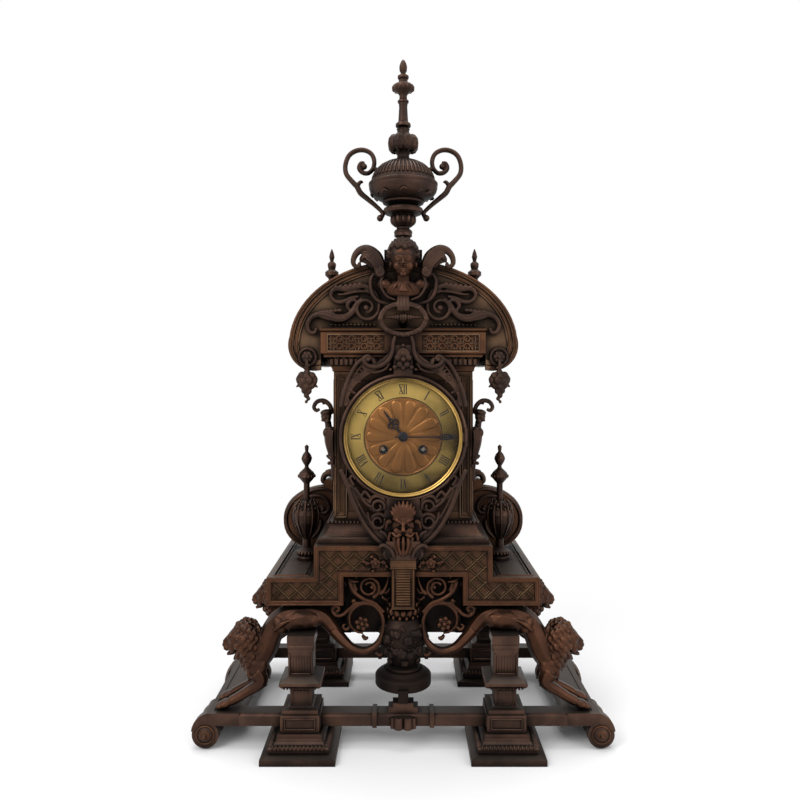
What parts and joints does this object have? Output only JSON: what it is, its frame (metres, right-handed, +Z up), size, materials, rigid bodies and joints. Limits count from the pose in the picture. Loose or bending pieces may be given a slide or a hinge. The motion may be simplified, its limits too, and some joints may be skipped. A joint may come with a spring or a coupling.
{
  "type": "mantel clock",
  "caption": "Ornate bronze pendulum mantel clock on four lions and pedestals, with a stepped base, arched pediment, winged child's bust, urn finial and hinged glass dial door.",
  "frame": {"origin": "middle of the footprint of the four pedestals, on the surface that the clock stands on", "axes": "+Z up, the dial faces -Y, +X to the right of someone who faces the dial"},
  "size_m": [0.4438, 0.2526, 0.7436],
  "materials": {
    "bronze_dark": "dark brown patinated cast bronze, satin",
    "bronze_warm": "warm red-brown patinated bronze, rubbed on the highs",
    "brass_bezel": "aged gold brass, satin",
    "glass": "clear",
    "dial_brass": "aged brass with a coppery centre, satin",
    "steel": "dark blued steel",
    "movement_brass": "plain brass, satin"
  },
  "bodies": {
    "clock_case": {"plinth_front_left": "bronze_dark", "plinth_front_right": "bronze_dark", "plinth_rear_left": "bronze_dark", "plinth_rear_right": "bronze_dark", "plank_left": "bronze_dark", "plank_right": "bronze_dark", "front_bar": "bronze_dark", "rear_bar": "bronze_dark", "vase_socle": "bronze_dark", "centre_well": "bronze_dark", "case_base": "bronze_dark", "case_back": "bronze_dark", "fruit_drops": "bronze_dark", "cherub_bust": "bronze_dark", "crest_ring": "bronze_dark", "urn_pedestal": "bronze_dark", "urn_body": "bronze_dark", "urn_lid": "bronze_dark", "urn_handles": "bronze_dark", "shoulder_finials": "bronze_dark", "small_urns": "bronze_dark", "herms": "bronze_dark", "cartouche": "bronze_dark", "vase": "bronze_warm", "pilaster": "bronze_warm", "lion_front_left": "bronze_warm", "lion_front_right": "bronze_warm", "lion_rear_left": "bronze_warm", "lion_rear_right": "bronze_warm", "scroll_panel_left": "bronze_warm", "scroll_panel_right": "bronze_warm", "step_block": "bronze_warm", "case_front": "bronze_warm", "case_left": "bronze_warm", "case_right": "bronze_warm", "cornice": "bronze_warm", "frieze": "bronze_warm", "pediment": "bronze_warm", "crest_scrolls": "bronze_warm", "volutes": "bronze_warm", "dial_plate": "dial_brass", "front_plate": "movement_brass", "back_plate": "movement_brass", "bell": "movement_brass"},
    "minute_hand": {"minute_hand": "steel"},
    "hour_hand": {"hour_hand": "steel"},
    "minute_wheel": {"minute_wheel": "movement_brass"},
    "centre_wheel": {"centre_wheel": "movement_brass"},
    "third_wheel": {"third_wheel": "movement_brass"},
    "escape_wheel": {"escape_wheel": "movement_brass"},
    "going_barrel": {"going_barrel": "movement_brass"},
    "going_arbor": {"going_arbor": "steel"},
    "strike_barrel": {"strike_barrel": "movement_brass"},
    "strike_arbor": {"strike_arbor": "steel"},
    "anchor": {"anchor": "steel"},
    "pendulum": {"pendulum": "movement_brass"},
    "hammer": {"hammer": "steel"},
    "bezel_door": {"bezel_door": "brass_bezel", "door_glass": "glass"},
    "rear_door": {"rear_door": "movement_brass"}
  },
  "joints": [
    {"name": "minute_spin", "type": "hinge", "parent": "clock_case", "child": "minute_hand", "pos_m": [0, -0.0817, 0.3256], "axis": [0, 1, 0], "continuous": true},
    {"name": "hour_spin", "type": "hinge", "parent": "clock_case", "child": "hour_hand", "pos_m": [0, -0.0794, 0.3256], "axis": [0, 1, 0], "continuous": true},
    {"name": "minute_wheel_spin", "type": "hinge", "parent": "clock_case", "child": "minute_wheel", "pos_m": [0, -0.0585, 0.3448], "axis": [0, 1, 0], "continuous": true},
    {"name": "centre_spin", "type": "hinge", "parent": "clock_case", "child": "centre_wheel", "pos_m": [0, -0.05, 0.3256], "axis": [0, 1, 0], "continuous": true},
    {"name": "third_spin", "type": "hinge", "parent": "clock_case", "child": "third_wheel", "pos_m": [0.00945, -0.03, 0.34197], "axis": [0, 1, 0], "continuous": true},
    {"name": "escape_spin", "type": "hinge", "parent": "clock_case", "child": "escape_wheel", "pos_m": [0, -0.03, 0.3523], "axis": [0, 1, 0], "continuous": true},
    {"name": "going_barrel_spin", "type": "hinge", "parent": "clock_case", "child": "going_barrel", "pos_m": [0.0213, -0.04, 0.312], "axis": [0, 1, 0], "continuous": true},
    {"name": "going_wind", "type": "hinge", "parent": "clock_case", "child": "going_arbor", "pos_m": [0.0213, -0.07, 0.312], "axis": [0, 1, 0], "range_deg": [0, 1800]},
    {"name": "strike_barrel_spin", "type": "hinge", "parent": "clock_case", "child": "strike_barrel", "pos_m": [-0.0213, -0.04, 0.312], "axis": [0, 1, 0], "continuous": true},
    {"name": "strike_wind", "type": "hinge", "parent": "clock_case", "child": "strike_arbor", "pos_m": [-0.0213, -0.07, 0.312], "axis": [0, 1, 0], "range_deg": [0, 1800]},
    {"name": "pendulum_swing", "type": "hinge", "parent": "clock_case", "child": "pendulum", "pos_m": [0, -0.005, 0.3638], "axis": [0, 1, 0], "range_deg": [-3, 3]},
    {"name": "anchor_rock", "type": "hinge", "parent": "clock_case", "child": "anchor", "pos_m": [0, -0.03, 0.3638], "axis": [0, 1, 0], "range_deg": [-3, 3]},
    {"name": "hammer_swing", "type": "hinge", "parent": "clock_case", "child": "hammer", "pos_m": [-0.034, 0.005, 0.3056], "axis": [0, 1, 0], "range_deg": [-18, 2]},
    {"name": "bezel_hinge", "type": "hinge", "parent": "clock_case", "child": "bezel_door", "pos_m": [0.0662, -0.0858, 0.3256], "axis": [0, 0, 1], "range_deg": [0, 110]},
    {"name": "rear_hinge", "type": "hinge", "parent": "clock_case", "child": "rear_door", "pos_m": [0.058, 0.0672, 0.3256], "axis": [0, 0, -1], "range_deg": [0, 110]}
  ],
  "couplings": [
    {"joint": "anchor_rock", "follows": "pendulum_swing", "ratio": 1}
  ]
}
